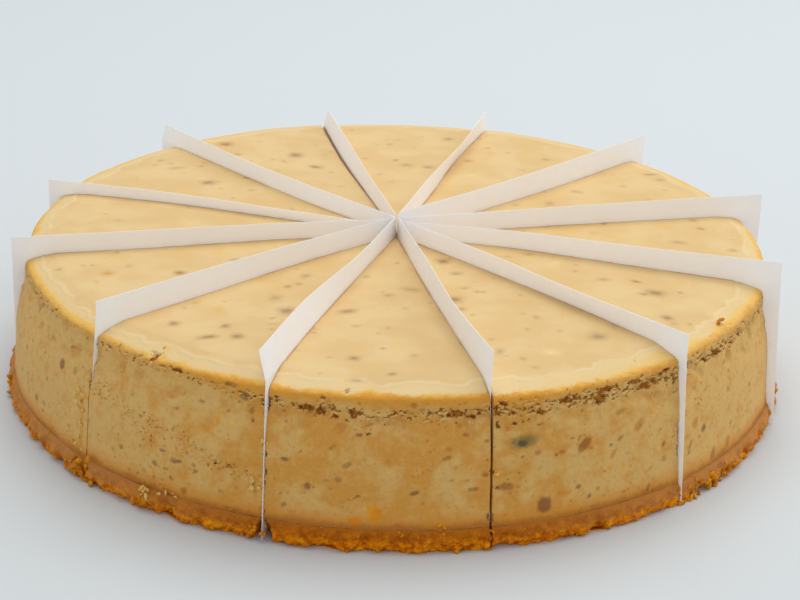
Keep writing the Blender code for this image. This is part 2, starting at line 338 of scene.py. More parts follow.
# The larger flecks in the side: tint, azimuth in degrees, height, width, rise and slant in degrees
SIDE_FLECKS = (
    ("grey", 205, 26, 2, 1.5, 30), ("grey", 207, 40, 3, 2, 60), ("green", 210, 13.5, 2.5, 2, 20),
    ("grey", 212.5, 14, 2.5, 1.5, 0), ("grey", 213.5, 23, 2, 1.5, 50), ("purple", 217.5, 31, 3.5, 2.5, 70),
    ("grey", 221, 31.5, 2.5, 2, 80), ("ochre", 223.5, 18, 1.3, 23, 0),
    ("orange", 237.5, 12.5, 1, 2.5, -10), ("green", 239.5, 14.5, 2, 1, 0),
    ("purple", 241.5, 18, 2.5, 1, 10), ("green", 242.5, 9.5, 2, 2, 0), ("orange", 247, 33, 0.9, 3, -8),
    ("purple", 248, 43.5, 2, 1, 0), ("yellow", 249, 33, 0.9, 0.8, 0), ("slate", 250.5, 41, 3, 2.5, -10),
    ("green", 251.5, 37, 1.5, 1.5, 0), ("green", 256.5, 12, 1.8, 1.2, 20),
    ("purple", 256.5, 25.5, 2.5, 1, 0), ("purple", 259.5, 18.5, 2, 1.8, 40),
    ("green", 264.5, 25.5, 2.8, 1.4, 35),
    ("orange", 265.6, 9.2, 3.8, 2.2, 10), ("orange", 268, 11.8, 4.2, 4.6, 20),
    ("slate", 273, 18, 2.6, 1.2, 15), ("orange", 274, 25.5, 1.4, 1, 30),
    ("brown", 277, 28, 2.8, 1, 15), ("brown", 279.5, 34, 2, 1, -20), ("brown", 280.5, 18.5, 3, 1.2, 0),
    ("brown", 282, 22.5, 1.8, 1.2, 0), ("yellow", 283.8, 22.8, 1.3, 1, -10),
    ("brown", 284.8, 18.5, 4, 2.2, -5),
    ("blue", 287, 31.5, 7.2, 3.4, 5), ("purple", 290, 11.5, 4.2, 4.6, 8), ("slate", 291.5, 26, 1, 1, 0),
    ("blush", 293, 14, 4, 2, 0), ("rust", 295.5, 27.5, 2.9, 4.8, -38), ("slate", 296.5, 11.5, 1.1, 1.4, -20),
    ("orange", 299.5, 18.5, 1.5, 1, 0), ("red", 300, 22.5, 1.5, 2.8, -30), ("green", 301, 27, 1.5, 2.4, -30),
    ("grey", 301, 35, 3.4, 1.5, 15), ("red", 304, 29.5, 2.6, 4.2, -45), ("green", 306, 9, 1.3, 2.4, -40),
    ("brown", 308.5, 21, 1.5, 1.6, 0), ("blush", 310, 27.5, 1.5, 2, -30), ("green", 314, 17, 1.4, 3.4, -25),
    ("red", 315, 23, 2.5, 3, -30), ("slate", 317, 20, 2, 2.5, -30), ("green", 319.5, 10, 2.4, 3.8, -25),
    ("slate", 321, 40, 3.5, 2, 0), ("grey", 323.5, 10.5, 2.2, 3.6, -20), ("grey", 323.5, 27.5, 1.5, 1.5, 0),
)
# The larger flecks in the top: tint, place to the right and back, width and depth
TOP_FLECKS = (
    ("purple", -38, 77, 5.5, 6), ("brown", -30, 64, 5.5, 3.5), ("brown", -65, 88, 6, 5),
    ("purple", -67, 44, 6, 5), ("green", -80, 59, 7, 3.5), ("grey", -51, 37, 3, 2.5),
    ("orange", -89, -43, 4.5, 5), ("brown", -67, -41, 4, 4), ("slate", -51, -29, 4, 2),
    ("brown", -53, -89, 6.5, 3), ("purple", -64, -80, 3.5, 4), ("purple", -49, -81, 3, 3.5),
    ("purple", -45, -88, 4, 4.5), ("yellow", -52, -69, 3.5, 6), ("purple", -32, -69, 5, 6),
    ("grey", -36, -59, 5, 6), ("grey", -28, -41, 3.5, 4.5), ("purple", -11, -101, 3.5, 3.5),
    ("purple", -14, -68, 6, 3.5), ("grey", -2, -55, 4, 3), ("grey", -10, -114, 4.5, 2),
    ("grey", 5, -50, 6.5, 4), ("purple", 18, -57, 5, 5.5), ("brown", 15, -26, 5, 5),
    ("slate", 19, -36, 4, 3), ("grey", 30, -94, 3, 5.5), ("slate", 59, -82, 5.5, 6),
    ("pale", 45, -94, 5, 5.5), ("grey", 42, -69, 2.5, 3.5), ("pale", 51, -25, 6, 8),
    ("purple", 80, -48, 6.5, 5.5), ("brown", 75, -39, 3.5, 2), ("grey", 65, -38, 4, 3),
    ("purple", 81, -67, 3.5, 4.5), ("grey", 43, -18, 4, 2.5), ("grey", 93, -4, 5.5, 3.5),
    ("grey", 110, -10, 3.5, 3.5), ("slate", 92, 65, 5.5, 2.5), ("grey", 95, 59, 4.5, 3.5),
    ("grey", 53, 31, 3, 5), ("grey", 63, 44, 3.5, 3.5), ("grey", 55, 79, 3.5, 3.5),
    ("pale", 56, 94, 4.5, 3), ("pale", 26, 59, 3.5, 3.5), ("grey", 26, 75, 3.5, 3.5),
    ("slate", 19, 101, 3.5, 4), ("slate", 11, 67, 4.5, 3.5), ("grey", 3, 69, 5, 3.5),
)
# The larger pits in the side: azimuth in degrees, height, width and rise
PITS = (
    (235.5, 45.2, 3.0, 1.8), (240.0, 43.6, 3.6, 1.0), (247.0, 20.5, 1.5, 1.2), (253.4, 29.0, 1.5, 1.6),
    (253.6, 17.5, 2.0, 2.4), (252.4, 16.6, 1.4, 1.0), (283.4, 41.0, 1.6, 3.0), (282.8, 23.0, 1.2, 2.0),
    (259.0, 40.0, 3.3, 1.8), (260.5, 39.3, 2.5, 1.4), (261.0, 43.5, 1.6, 1.0),
    (262.6, 38.6, 2.2, 1.0), (264.0, 45.2, 1.1, 1.8), (265.2, 39.6, 2.2, 2.0), (267.0, 34.6, 1.6, 1.1),
    (278.3, 39.8, 4.0, 1.5), (280.2, 38.5, 2.2, 1.0), (283.4, 36.5, 1.4, 2.4), (283.5, 18.0, 1.4, 1.5),
    (284.2, 43.0, 2.3, 1.5), (285.6, 36.3, 1.4, 1.8), (287.4, 37.2, 2.6, 1.0), (289.4, 39.2, 2.4, 1.3),
    (292.5, 41.5, 2.7, 1.3), (298.0, 39.5, 3.4, 2.6), (298.5, 42.4, 4.4, 1.4), (303.3, 42.6, 4.0, 1.1),
    (305.4, 40.1, 3.1, 1.2), (309.0, 43.0, 2.6, 1.2), (310.6, 38.7, 1.9, 1.9), (321.0, 40.3, 4.0, 1.9),
)
# A slanting field of fine pores: its azimuth and height at both ends, and half its breadth
PORE_FIELD = ((227.0, 30.0), (250.0, 19.0), 3.5)

FLECK_SEED = 700
SIDE_FINE, SIDE_COARSE, TOP_FINE = 60, 9, 20
COARSE_FROM = 2.0
# The smaller flecks' tints, and how often each comes in the side and in the top
FINE_TINTS = ("grey", "green", "brown", "purple", "slate", "red", "orange", "blush")
SIDE_SHARES = (22, 16, 22, 12, 8, 9, 5, 6)
TOP_SHARES = (40, 8, 22, 20, 10)


def wander(points, size, layer=0.0):
    """Noise of about this size at each point, from -1 to 1."""
    shift = Vector((layer, layer, layer))
    return np.array([noise.noise(Vector(p) / size + shift) for p in points])


def seam_distance(number, points):
    """How far each point of a slice is from the nearer of its two cuts."""
    spokes = points[:, :2] - CUT_CENTRE
    found = []
    for cut, side in ((number, 1), (number + 1, -1)):
        distance = np.maximum(spokes @ polar(cut_angle(cut)), 0.0)
        edge = cut_point(cut, distance, side) - CUT_CENTRE
        found.append(side * ((spokes - edge) @ polar(cut_angle(cut) + math.pi / 2)))
    return np.maximum(np.minimum(*found), 0.0)


def patch(across, up, width, rise, warp, softness, slant=0.0):
    """1 inside a patch with a wavy edge, 0 outside it, and soft between."""
    turn_cos, turn_sin = math.cos(slant), math.sin(slant)
    u = (across * turn_cos + up * turn_sin) / width * 2
    v = (up * turn_cos - across * turn_sin) / rise * 2
    painted_sheen_side = (np.abs(u) ** 2.5 + np.abs(v) ** 2.5) ** 0.4 + warp
    return 1 - ramp(painted_sheen_side, 1 - softness, 1 + softness)


def side_places(points):
    """The azimuth in degrees, height and radius of each point."""
    azimuth = np.degrees(np.arctan2(points[:, 1], points[:, 0])) % 360
    return azimuth, points[:, 2], np.linalg.norm(points[:, :2], axis=1)


def arc(azimuth, middle, radius):
    """The way round the cake from the middle azimuth to each point, in millimetres."""
    turn = (azimuth - middle + 180) % 360 - 180
    return np.radians(turn) * radius


def pick(random, shares):
    return FINE_TINTS[random.choice(len(shares), p=np.array(shares) / sum(shares))]


def close_to(across, up, inside, reach):
    """Which of the points inside are within reach of a spot."""
    return inside & (np.abs(across) < reach) & (np.abs(up) < reach)


def scattered_flecks(number):
    """The smaller flecks of a slice, drawn at random: those of the side, then those of the top."""
    random = np.random.default_rng(FLECK_SEED + number)
    start = math.degrees(cut_angle(number))
    shown = any(start < fleck[1] < start + 30 for fleck in SIDE_FLECKS)
    side, top = [], []
    for k in range(SIDE_FINE + (0 if shown else SIDE_COARSE)):
        width = 0.5 + 1.5 * random.random() ** 1.6 + (COARSE_FROM if k >= SIDE_FINE else 0.0)
        side.append((pick(random, SIDE_SHARES), start + 30 * random.random(),
                     9.5 + 34 * random.random(), width, width * (0.45 + 0.5 * random.random()),
                     random.uniform(-0.5, 0.5), random.uniform(0.45, 1.0)))
    for k in range(TOP_FINE):
        reach = 8 + 106 * math.sqrt(random.random())
        turn = math.radians(start + 30 * random.random())
        width = 0.8 + 2.2 * random.random()
        side_by = random.uniform(0.55, 1.0)
        top.append((pick(random, TOP_SHARES), reach * math.cos(turn),
                    reach * math.sin(turn), width, width * side_by,
                    random.uniform(-1.2, 1.2), random.uniform(0.35, 0.9)))
    return side, top


def tinted(number, points, skin):
    """What the flecks do to the filling's colour at each point."""
    tint = np.ones((len(points), 3))
    warp = 0.30 * wander(points, 1.1) + 0.16 * wander(points, 0.5, 9.0)
    azimuth, height, radius = side_places(points)
    fine_side, fine_top = scattered_flecks(number)
    for *fleck, slant in SIDE_FLECKS:
        fine_side.append((*fleck, math.radians(slant), 0.95))
    for index, (name, x, y, width, depth) in enumerate(TOP_FLECKS):
        fine_top.append((name, x, y, width, depth, 0.4 * math.sin(5.0 * index), 0.95))
    on_side = (skin > SIDE_MARK) & (skin < TOP_MARK)
    on_top = skin >= TOP_MARK
    for name, middle, level, width, rise, slant, strength in fine_side:
        across, up = arc(azimuth, middle, radius), height - level
        near = close_to(across, up, on_side, width + rise)
        if not near.any():
            continue
        across, up, wavy = across[near], up[near], warp[near] * min(1.0, 1.6 / width)
        if name == "blue":
            halo = patch(across, up, width, rise, wavy, 0.6, slant)
            paint(tint, near, 0.9 * halo, SIDE_TINTS["teal"])
            across, up, width, rise = across + 0.5, up + 0.6, width * 0.38, rise * 0.5
        paint(tint, near, strength * patch(across, up, width, rise, wavy, 0.28, slant), SIDE_TINTS[name])
    for name, x, y, width, depth, slant, strength in fine_top:
        across, up = points[:, 0] - x, points[:, 1] - y
        near = close_to(across, up, on_top, width + depth)
        if not near.any():
            continue
        across, up = across[near], up[near]
        soft = patch(across, up, width, depth, warp[near], 0.6, slant)
        core = patch(across, up, width * 0.5, depth * 0.4, warp[near], 0.5, slant)
        paint(tint, near, strength * (0.5 * soft + 0.5 * core), TOP_TINTS[name])
    return tint


def paint(tint, near, share, colour):
    tint[near] += share[:, None] * (np.array(colour) - tint[near])


def pressed_pits(points, skin):
    """How deep in one of the larger pits each point of the side is, from 0 to 1."""
    azimuth, height, radius = side_places(points)
    warp = 0.45 * wander(points, 0.9, 4.0) + 0.2 * wander(points, 0.45, 6.0)
    depth = np.zeros(len(points))
    for middle, level, width, rise in PITS:
        across, up = arc(azimuth, middle, radius), height - level
        near = close_to(across, up, (skin > SIDE_MARK) & (skin < 0.9), width)
        if near.any():
            found = patch(across[near], up[near], width, rise, warp[near], 0.6)
            depth[near] = np.maximum(depth[near], found)
    return depth


def crumbliness(points):
    """How crumbly the side is at each point: strong in a band under the rim."""
    azimuth, height, radius = side_places(points)
    middles = [math.degrees(cut_angle(number + 0.5)) for number in range(SLICES)]
    middle, spread, strength = (
        np.interp(azimuth, middles, [band[k] for band in BANDS], period=360) for k in range(3)
    )
    raised = 0.7 * wander(points, 9.0, 2.0)
    return strength * np.exp(-(((height - middle + raised) / spread) ** 2))


def porosity(points):
    """Where the side has fields of fine pores."""
    azimuth, height, radius = side_places(points)
    (start, start_height), (end, end_height), breadth = PORE_FIELD
    share = np.clip((azimuth - start) / (end - start), -0.2, 1.2)
    level = start_height + (end_height - start_height) * share
    inside = (azimuth > start - 4) & (azimuth < end + 2)
    field = inside * np.exp(-(((height - level) / breadth) ** 2))
    patches = ramp(wander(points, 10.0, 5.0), 0.05, 0.45)
    return np.clip(0.25 + 0.6 * patches + 0.9 * field, 0.0, 1.0)


# Relief of the side and the base

def rough(angles, height, size, layer=0.0):
    """Noise of about this size on the cake's side, from -1 to 1, for a row of angles."""
    z = height / size + layer
    reach = BASE_RADIUS / size
    return np.array([
        noise.noise(Vector((math.cos(a) * reach, math.sin(a) * reach, z))) for a in angles
    ])


def filling_relief(angles, height):
    gentle = SIDE_UNEVENNESS * rough(angles, height, SIDE_WAVE)
    band = math.exp(-(((height - PIT_HEIGHT) / PIT_BAND) ** 2))
    if band < 0.01:
        return gentle
    pit = np.maximum(0.0, rough(angles, height, PIT_SPACING, PIT_LAYER) - PIT_RARITY)
    return gentle - PIT_DEPTH * band * pit


def crust_relief(angles, height):
    fading = float(ramp(height, BASE_HEIGHT, BASE_HEIGHT - CRUST_FADING))
    crumbs = CRUMB_RELIEF * rough(angles, height, CRUMB_SIZE, CRUMB_LAYER) * fading
    low = max(0.0, 1.0 - height / NOTCH_HEIGHT)
    notch = np.maximum(0.0, rough(angles, 0.0, NOTCH_SPACING, NOTCH_LAYER) - NOTCH_RARITY)
    broken = 0.0
    for middle, width, depth, soft in BROKEN_CORNERS:
        across = np.abs((np.degrees(angles) - middle + 180) % 360 - 180) * math.radians(BASE_RADIUS)
        open_width = width * math.sqrt(max(0.0, 1.0 - height / BASE_HEIGHT))
        shown = depth * min(1.0, 1.6 - 1.6 * height / BASE_HEIGHT)
        broken = np.maximum(broken, shown * ramp(across, open_width + soft, open_width - soft))
    return np.minimum(crumbs, CRUMB_MOST) - NOTCH_DEPTH * notch * low - broken


# Slices, base and paper

def smooth_profile(rows, step):
    """Points about this far apart on a smooth curve through the rows."""
    rows = np.array(rows)
    padded = np.vstack((2 * rows[0] - rows[1], rows, 2 * rows[-1] - rows[-2]))
    found = []
    for k in range(1, len(padded) - 2):
        before, start, end, after = padded[k - 1:k + 3]
        count = max(1, round(float(np.linalg.norm((end - start)[:2])) / step))
        for t in np.arange(count) / count:
            found.append(0.5 * (
                2 * start + (end - before) * t
                + (2 * before - 5 * start + 4 * end - after) * t**2
                + (3 * start - before - 3 * end + after) * t**3
            ))
    return np.array([*found, rows[-1]])


def swelling(number, radius, height):
    """How much of a slice's swell a row of its side or rim has."""
    share = SWELL[number]
    for value, (start, end) in ((height, SWELL_HEIGHTS), (radius, SWELL_RADII)):
        share *= min(max((value - start) / (end - start), 0.0), 1.0)
    return share


def side_row(shell, number, radius, height, columns, relief, tilt=0.0, skin=0.0):
    """A row of points round a slice's side, from its first cut to its second."""
    first = rim_distance(number, radius, 1)
    last = rim_distance(number + 1, radius, -1)
    start = turned(cut_point(number, first, 1), cut_angle(number))
    end = turned(cut_point(number + 1, last, -1), cut_angle(number + 1))
    angles = np.linspace(float(start), float(end), columns + 1)
    out = relief(angles, height)
    plan = polar(angles) * (radius + out)[:, None]
    plan[0] = cut_point(number, first + out[0], 1)
    plan[-1] = cut_point(number + 1, last + out[-1], -1)
    return shell.row(plan, height + tilt * np.sin(angles), skin)


def cut_face(shell, number, side, edge, top, reaches, under, upper):
    """A slice's face at one cut. edge is the side's column there from the bottom up, top the
    ends of the top's rows, and reaches how far the top's rows are from the tip. It returns the
    points along the bottom from the outside in, and those of the tip from the bottom up."""
    outline = np.concatenate(shell.points)[edge]
    distance = np.array([np.dot(p[:2] - CUT_CENTRE, polar(cut_angle(number))) for p in outline])
    foot = [edge[0]]
    column = edge
    for share, every in CUT_STRIPS:
        kept = np.arange(0, len(edge) - 1, every)
        out = reaches[0] + (distance[kept] - reaches[0]) * share
        plan = cut_point(number, out, side)
        fresh = shell.row(plan, outline[kept, 2], INNER) + [edge[-1]]
        shell.bridge(column, fresh)
        column = fresh
        foot.append(fresh[0])
    stations = np.linspace(reaches[0], TIP, round((reaches[0] - TIP) / CUT_STATION) + 1)
    rises = np.linspace(under, upper, CUT_RISES)
    shelf = []
    for k, station in enumerate(stations):
        plan = cut_point(number, np.full(len(rises), station), side)
        fresh = shell.row(plan, rises, INNER)
        shell.bridge(column, fresh + [edge[-1]] if k == 0 else fresh)
        column = fresh
        foot.append(fresh[0])
        shelf.append(fresh[-1])
    shell.bridge(shelf, top)
    return foot, column


def filling(number):
    """The baked filling of one slice, from the crumb base to the top."""
    shell = Shell()
    rows = []
    for radius, height, share in smooth_profile(FILLING_RIM, SIDE_STEP):
        reached = radius + swelling(number, radius, height)
        skin = min(max((height - SKIN_STARTS) / (SKIN_FULL - SKIN_STARTS), 0.0), 1.0)
        rows.append(side_row(shell, number, reached, height, SIDE_COLUMNS, filling_relief,
                             share * RIM_TILT, skin))
    outer = np.concatenate(shell.points)[rows[-1]]
    spokes = outer[:, :2] - CUT_CENTRE
    reaches = np.linalg.norm(spokes, axis=1)
    angles = np.unwrap(np.arctan2(spokes[:, 1], spokes[:, 0]))
    firsts = np.dot(spokes[0], polar(cut_angle(number)))
    lasts = np.dot(spokes[-1], polar(cut_angle(number + 1)))
    bulge = reaches - np.linspace(reaches[0], reaches[-1], len(reaches))
    tops = [rows[-1]]
    shares = np.linspace(1.0, 0.0, round((firsts - TIP) / TOP_STEP) + 1)
    for share in shares[1:]:
        one = TIP + (firsts - TIP) * share
        two = TIP + (lasts - TIP) * share
        ends = np.array((cut_point(number, one, 1), cut_point(number + 1, two, -1))) - CUT_CENTRE
        bounds = np.unwrap(np.arctan2(ends[:, 1], ends[:, 0]))
        width = float(np.linalg.norm(ends[1] - ends[0]))
        columns = min(SIDE_COLUMNS, max(1, math.ceil(width / TOP_COLUMN)))
        part = np.linspace(0.0, 1.0, columns + 1)
        swollen = np.interp(part, np.linspace(0, 1, len(bulge)), bulge) * share
        reach = np.linalg.norm(ends[0]) * (1 - part) + np.linalg.norm(ends[1]) * part + swollen
        turn = bounds[0] + (bounds[1] - bounds[0]) * part
        tops.append(shell.row(CUT_CENTRE + polar(turn) * reach[:, None], TOP_HEIGHT, 1.0))
    for lower, upper in zip(rows + tops[1:], (rows + tops[1:])[1:]):
        shell.bridge(lower, upper)
    under, shelf = BASE_HEIGHT + LAYER_GAP, TOP_HEIGHT - CUT_SHELF
    feet, tips = [], []
    for cut, side, end, far in ((number, 1, 0, firsts), (number + 1, -1, -1, lasts)):
        reached = TIP + (far - TIP) * shares
        foot, tip = cut_face(shell, cut, side, [row[end] for row in rows],
                             [row[end] for row in tops], reached, under, shelf)
        feet.append(foot)
        tips.append(tip + [tops[-1][end]])
    shell.bridge(*tips)
    shell.level_face(rows[0], *feet)
    made = shell.make(f"slice_{number + 1:02d}")
    points, skin = np.concatenate(shell.points), np.concatenate(shell.skin)
    mark(made, "skin", skin)
    mark(made, "seam", seam_distance(number, points))
    mark(made, "crumbly", crumbliness(points))
    mark(made, "pressed", pressed_pits(points, skin))
    mark(made, "porous", porosity(points))
    mark_colour(made, "tint", np.column_stack((tinted(number, points, skin), np.ones(len(points)))))
    return made


def crust(number):
    """The pressed crumb base under one slice."""
    shell = Shell()
    profile = smooth_profile(CRUST_RIM, BASE_HEIGHT / CRUST_ROWS)
    rows = [
        side_row(shell, number, BASE_RADIUS + out, height, CRUST_COLUMNS, crust_relief)
        for out, height in profile
    ]
    for lower, upper in zip(rows, rows[1:]):
        shell.bridge(lower, upper)
    levels = {0: ([], []), 1: ([], [])}
    reach = BASE_RADIUS - CRUST_DEPTH
    tips = []
    for which, (cut, side, end) in enumerate(((number, 1, 0), (number + 1, -1, -1))):
        column = [row[end] for row in rows]
        for station in np.linspace(reach, TIP, round(reach / CUT_STATION / 2)):
            plan = cut_point(cut, np.full(3, station), side)
            fresh = shell.row(plan, np.linspace(0.0, BASE_HEIGHT, 3), INNER)
            shell.bridge(column, fresh)
            column = fresh
            levels[0][which].append(fresh[0])
            levels[1][which].append(fresh[-1])
        tips.append(column)
    shell.bridge(*tips)
    shell.level_face(rows[0], *levels[0])
    shell.level_face(rows[-1], *levels[1])
    made = shell.make(f"crumb_base_{number + 1:02d}")
    mark(made, "skin", np.concatenate(shell.skin))
    mark(made, "seam", seam_distance(number, np.concatenate(shell.points)))
    return made


# The paper: up to PAPER_BEND it stands straight in its cut, with rows at PAPER_LEVELS, and from
# there it is free, with rows at these shares of the way up
PAPER_THICKNESS = 0.14
PAPER_START = 1.2
PAPER_FOOT = 0.4
PAPER_BEND = 47.3
PAPER_LEVELS = (PAPER_FOOT, 20.0, 40.0, PAPER_BEND)
PAPER_FREE = (0.2, 0.4, 0.6, 0.8, 1.0)
PAPER_COLUMNS = 60


def paper(number):
    """The sheet that stands in one cut: flat against the slices, and free above them."""
    cut = CUTS[number]
    aside = polar(cut_angle(number) + math.pi / 2)
    shell = Shell()
    rows = []
    rises = [(level, 0.0) for level in PAPER_LEVELS] + [(PAPER_BEND, share) for share in PAPER_FREE]
    for start, free in rises:
        raised = start + (cut.outer_top - start) * free
        outer = cut.foot + (cut.reach - cut.foot) * raised / cut.outer_top
        distance = np.linspace(outer, PAPER_START, PAPER_COLUMNS)
        top = cut.inner_top + (cut.outer_top - cut.inner_top) * distance / cut.reach
        plan = cut_point(number, distance) + (along(cut.lean, distance) * free)[:, None] * aside
        rows.append(shell.row(plan, start + (top - start) * free))
    for lower, upper in zip(rows, rows[1:]):
        shell.bridge(lower, upper)
    made = shell.make(f"paper_sheet_{number + 1:02d}", flat=True)
    wall = made.modifiers.new("thickness", "SOLIDIFY")
    wall.thickness = PAPER_THICKNESS * MM
    wall.offset = 0.0
    return made


# Node trees

class Value:
    """What comes out of a node. Its sums, differences, products and quotients are nodes too."""

    def __init__(self, tree, socket):
        self.tree = tree
        self.socket = socket

    def __add__(self, other):
        return maths("ADD", self, other)

    def __sub__(self, other):
        return maths("SUBTRACT", self, other)

    def __rsub__(self, other):
        return maths("SUBTRACT", other, self)

    def __mul__(self, other):
        return maths("MULTIPLY", self, other)

    def __truediv__(self, other):
        return maths("DIVIDE", self, other)

    def __rtruediv__(self, other):
        return maths("DIVIDE", other, self)


def plug(node, inputs):
    """Puts a plain value or a link on each input given."""
    for key, value in inputs.items():
        if isinstance(value, Value):
            value.tree.links.new(value.socket, node.inputs[key])
        else:
            node.inputs[key].default_value = value


def add(tree, kind, output, inputs=None, **settings):
    """Adds a node with these inputs and settings, and gives one of its outputs."""
    node = tree.nodes.new(kind)
    for name, value in settings.items():
        setattr(node, name, value)
    plug(node, inputs or {})
    return Value(tree, node.outputs[output])


def tree_of(*values):
    return next(value.tree for value in values if isinstance(value, Value))


def maths(operation, *values):
    return add(tree_of(*values), "ShaderNodeMath", 0, dict(enumerate(values)), operation=operation)


def vector(operation, *values, output="Vector", **inputs):
    given = {**dict(enumerate(values)), **inputs}
    return add(values[0].tree, "ShaderNodeVectorMath", output, given, operation=operation)


def ease(value, low, high, start=0.0, end=1.0):
    """Goes smoothly from start to end while the value goes from low to high."""
    inputs = {"Value": value, "From Min": low, "From Max": high, "To Min": start, "To Max": end}
    return add(value.tree, "ShaderNodeMapRange", "Result", inputs, interpolation_type="SMOOTHSTEP")


def mottle(place, size, detail=2.0, roughness=0.5):
    """Noise from 0 to 1 whose blotches are about this many millimetres across."""
    inputs = {"Vector": place, "Scale": 1 / MM / size, "Detail": detail, "Roughness": roughness}
    return add(place.tree, "ShaderNodeTexNoise", 0, inputs)


def axis(place, number):
    """How far a place lies along one axis, in millimetres."""
    return add(place.tree, "ShaderNodeSeparateXYZ", number, {0: place}) / MM


def squeezed(place, rise):
    """Places whose features come out flatter than they are wide."""
    return vector("MULTIPLY", place, (1.0, 1.0, 1 / rise))


def wall(place, rise=1.0, lift=0.0):
    """Each point's place on an even, upright side, so that relief doesn't move its own pattern.
    With a rise under 1, features come out flatter than wide. lift shifts them down."""
    level = vector("NORMALIZE", vector("MULTIPLY", place, (1.0, 1.0, 0.0)))
    out = vector("SCALE", level, Scale=WALL_RADIUS * MM)
    up = vector("MULTIPLY", place, (0.0, 0.0, 1 / rise))
    return vector("ADD", vector("ADD", out, up), (0.0, 0.0, lift * MM / rise))


def pitting(place, crumbly, pressed, size, crisp, lift=0.0):
    """Ragged pits, from 0 to 1: many where the side is crumbly, and where one is pressed in."""
    lump = mottle(wall(place, PIT_RISE, lift), size, 5.0, 0.68)
    limit = PIT_LIMIT - crumbly * PIT_CRUMBLY - pressed * PIT_PRESSED
    return ease(lump - limit, 0.0, crisp)


def pores(place, porous, size, crisp):
    """Small ragged pores, from 0 to 1, more of them where the side is porous."""
    lump = mottle(wall(place, PORE_RISE), size, 3.0, 0.7)
    return ease(lump - (PORE_LIMIT - porous * PORE_POROUS), 0.0, crisp)


def mix(share, first, second, blend="MIX"):
    """Mixes two colours."""
    colours = [c if isinstance(c, Value) else (*c, 1.0) for c in (first, second)]
    return add(tree_of(share, first, second), "ShaderNodeMix", 2,
               {0: share, 6: colours[0], 7: colours[1]}, data_type="RGBA", blend_type=blend)


def layered(colour, *layers):
    """Lays colours over a first one, one after the other, each by its share."""
    for share, over in layers:
        colour = mix(share, colour, over)
    return colour


def attribute(tree, name, output="Fac"):
    return add(tree, "ShaderNodeAttribute", output, attribute_name=name)


def surface(name):
    """A material with its shader alone, and each point's place in object coordinates."""
    made = bpy.data.materials.new(name)
    made.use_nodes = True
    tree = made.node_tree
    return made, tree.nodes["Principled BSDF"], add(tree, "ShaderNodeTexCoord", "Object")


def bump(height, depth, strength=1.0):
    """Turns a height from 0 to 1 into a bump of this depth in millimetres."""
    inputs = {"Height": height, "Distance": depth * MM, "Strength": strength}
    return add(height.tree, "ShaderNodeBump", "Normal", inputs)


# Relief and crumbs by Geometry Nodes

# The even side on which pits and pores are laid out, how high they are for their width, and
# how far below each pit the lip lies on which a highlight is painted
WALL_RADIUS = 125.0
PIT_RISE, PORE_RISE, PIT_HIGHLIGHT_DROP = 0.6, 0.8, 0.4
# How high the noise has to be for a pit or a pore, and how much less where the side is marked
PIT_LIMIT, PIT_CRUMBLY, PIT_PRESSED = 0.72, 0.21, 0.24
PORE_LIMIT, PORE_POROUS = 0.765, 0.19
FILLING_MARKS = ("skin", "seam", "crumbly", "pressed", "porous")
FILLING_SIZES = {
    "Grain size": 0.9, "Grain depth": 0.2, "Pore size": 0.9, "Pore depth": 0.5,
    "Pit size": 1.6, "Pit depth": 1.2, "Chip size": 4.0, "Chip depth": 0.55,
    "Dent size": 7.0, "Dent depth": 0.25, "Ridge radius": 115.0, "Ridge height": 0.16,
}
CRUST_SIZES = {
    "Crumb size": 1.9, "Crumb height": 0.55, "Grain size": 0.8, "Grain height": 0.3,
    "Chip size": 2.2, "Chip depth": 1.0,
}
CRUMB_SIZES = {"Lump size": 0.42, "Lump depth": 0.5}
CRUMB_KINDS = 5
CRUMB_FORM = (1.25, 0.85, 0.5)
RANDOM_KINDS = ("FLOAT_VECTOR", "FLOAT", "INT")


def group(name, sizes):
    """A tree whose inputs are a shape, a material, these named sizes and a seed."""
    tree = bpy.data.node_groups.new(name, "GeometryNodeTree")
    kinds = {"Geometry": "NodeSocketGeometry", "Material": "NodeSocketMaterial",
             **dict.fromkeys(sizes, "NodeSocketFloat"), "Seed": "NodeSocketInt"}
    for label, kind in kinds.items():
        tree.interface.new_socket(label, in_out="INPUT", socket_type=kind)
    tree.interface.new_socket("Geometry", in_out="OUTPUT", socket_type="NodeSocketGeometry")
    sockets = tree.nodes.new("NodeGroupInput").outputs
    return tree, {label: Value(tree, sockets[label]) for label in kinds}


def close(shape, material):
    """Ends a tree in Realize Instances and Set Material."""
    tree = shape.tree
    real = add(tree, "GeometryNodeRealizeInstances", "Geometry", {"Geometry": shape})
    done = add(tree, "GeometryNodeSetMaterial", "Geometry", {"Geometry": real, "Material": material})
    plug(tree.nodes.new("NodeGroupOutput"), {"Geometry": done})
    return tree


def spot(tree):
    return add(tree, "GeometryNodeInputPosition", "Position")


def named(tree, label):
    return add(tree, "GeometryNodeInputNamedAttribute", 0, {"Name": label}, data_type="FLOAT")


def store(shape, label, value, domain="POINT"):
    return add(shape.tree, "GeometryNodeStoreNamedAttribute", "Geometry",
               {"Geometry": shape, "Name": label, "Value": value}, data_type="FLOAT", domain=domain)


def drawn(seed, kind, low, high):
    """A random value for each crumb, of the kind that stands at this place in RANDOM_KINDS."""
    inputs = {2 * kind: low, 2 * kind + 1: high, "Seed": seed}
    return add(seed.tree, "FunctionNodeRandomValue", kind, inputs, data_type=RANDOM_KINDS[kind])


def raise_by(shape, height):
    """Moves each point of the shape out by this many millimetres, along its normal."""
    normal = add(shape.tree, "GeometryNodeInputNormal", "Normal")
    offset = vector("SCALE", normal, Scale=height * MM)
    return add(shape.tree, "GeometryNodeSetPosition", "Geometry", {"Geometry": shape, "Offset": offset})


